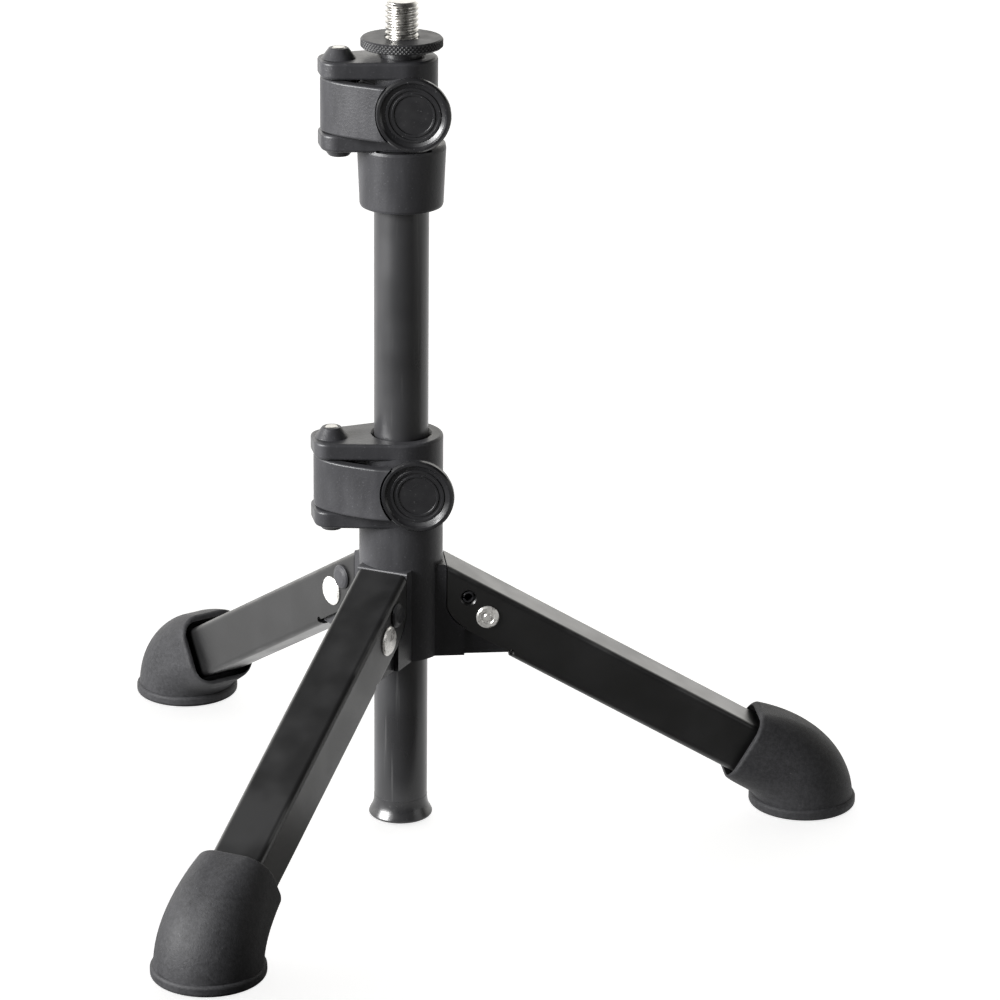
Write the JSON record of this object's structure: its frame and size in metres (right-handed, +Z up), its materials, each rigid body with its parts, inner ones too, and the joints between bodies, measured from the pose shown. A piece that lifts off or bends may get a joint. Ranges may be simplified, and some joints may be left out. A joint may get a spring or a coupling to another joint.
{
  "type": "desktop microphone stand",
  "caption": "Short folding tripod stand for a microphone: telescopic round tube, cam-lever clamps, square folding legs with rubber boots and a threaded stud on top.",
  "frame": {"origin": "on the tube's axis at table level, under the tube's end cap", "axes": "+Z up along the tube; +X out along leg 1; legs 2 and 3 at 120 and 240 degrees about +Z"},
  "size_m": [0.2174, 0.246, 0.2505],
  "materials": {
    "black_tube": "satin black coat",
    "leg_coat": "semi-gloss black coat",
    "nut_black": "satin black",
    "moulded": "fine-grained moulding",
    "pin_plastic": "smooth satin",
    "gloss_black": "polished",
    "nylon": "natural nylon",
    "bright_steel": "bright plated",
    "rubber": "matte"
  },
  "bodies": {
    "hub": {"hub_body": "moulded", "lower_hinge_pin": "bright_steel"},
    "lower_shoe": {"lower_clamp_shoe": "nylon"},
    "lower_lever_arm": {"lower_lever": "moulded", "lower_thumb_pad": "gloss_black"},
    "tube_slider": {"tube_end_cap": "gloss_black"},
    "tube_turner": {"main_tube": "black_tube", "upper_clamp_body": "moulded", "upper_hinge_pin": "bright_steel"},
    "upper_shoe": {"upper_clamp_shoe": "nylon"},
    "upper_lever_arm": {"upper_lever": "moulded", "upper_thumb_pad": "gloss_black"},
    "rod_slider": {"rod_guide": "nylon"},
    "rod_turner": {"inner_rod": "black_tube", "thread_stud": "bright_steel"},
    "nut": {"lock_nut": "nut_black"},
    "leg_1": {"leg_tube_1": "leg_coat", "leg_rivet_1": "bright_steel", "detent_pin_1": "pin_plastic", "boot_1": "rubber"},
    "leg_2": {"leg_tube_2": "leg_coat", "leg_rivet_2": "bright_steel", "detent_pin_2": "pin_plastic", "boot_2": "rubber"},
    "leg_3": {"leg_tube_3": "leg_coat", "leg_rivet_3": "bright_steel", "detent_pin_3": "pin_plastic", "boot_3": "rubber"}
  },
  "joints": [
    {"name": "tube_slide", "type": "slide", "parent": "hub", "child": "tube_slider", "axis": [0, 0, 1], "range_m": [0, 0.045]},
    {"name": "tube_turn", "type": "hinge", "parent": "tube_slider", "child": "tube_turner", "pos_m": [0, 0, 0.1], "axis": [0, 0, 1], "continuous": true},
    {"name": "rod_slide", "type": "slide", "parent": "tube_turner", "child": "rod_slider", "axis": [0, 0, 1], "range_m": [0, 0.17]},
    {"name": "rod_turn", "type": "hinge", "parent": "rod_slider", "child": "rod_turner", "pos_m": [0, 0, 0.1], "axis": [0, 0, 1], "continuous": true},
    {"name": "nut_turn", "type": "hinge", "parent": "rod_turner", "child": "nut", "pos_m": [0, 0, 0.2385], "axis": [0, 0, 1], "continuous": true},
    {"name": "lower_lever_open", "type": "hinge", "parent": "hub", "child": "lower_lever_arm", "pos_m": [-0.0206, -0.00198, 0.1086], "axis": [0, 0, -1], "range_deg": [0, 100]},
    {"name": "lower_shoe_slide", "type": "slide", "parent": "hub", "child": "lower_shoe", "axis": [-0.9954, -0.0958, 0], "range_m": [0, 0.0003]},
    {"name": "upper_lever_open", "type": "hinge", "parent": "tube_turner", "child": "upper_lever_arm", "pos_m": [-0.01812, -0.00174, 0.2216], "axis": [0, 0, -1], "range_deg": [0, 100]},
    {"name": "upper_shoe_slide", "type": "slide", "parent": "tube_turner", "child": "upper_shoe", "axis": [-0.9954, -0.0958, 0], "range_m": [0, 0.0003]},
    {"name": "leg_1_fold", "type": "hinge", "parent": "hub", "child": "leg_1", "pos_m": [0.0252, 0, 0.066], "axis": [0, 1, 0], "range_deg": [0, 60]},
    {"name": "leg_2_fold", "type": "hinge", "parent": "hub", "child": "leg_2", "pos_m": [-0.0126, 0.02182, 0.066], "axis": [-0.866, -0.5, 0], "range_deg": [0, 60]},
    {"name": "leg_3_fold", "type": "hinge", "parent": "hub", "child": "leg_3", "pos_m": [-0.0126, -0.02182, 0.066], "axis": [0.866, -0.5, 0], "range_deg": [0, 60]}
  ],
  "couplings": [
    {"joint": "lower_shoe_slide", "follows": "lower_lever_open", "m_per_rad": 0.00017},
    {"joint": "upper_shoe_slide", "follows": "upper_lever_open", "m_per_rad": 0.00017}
  ]
}
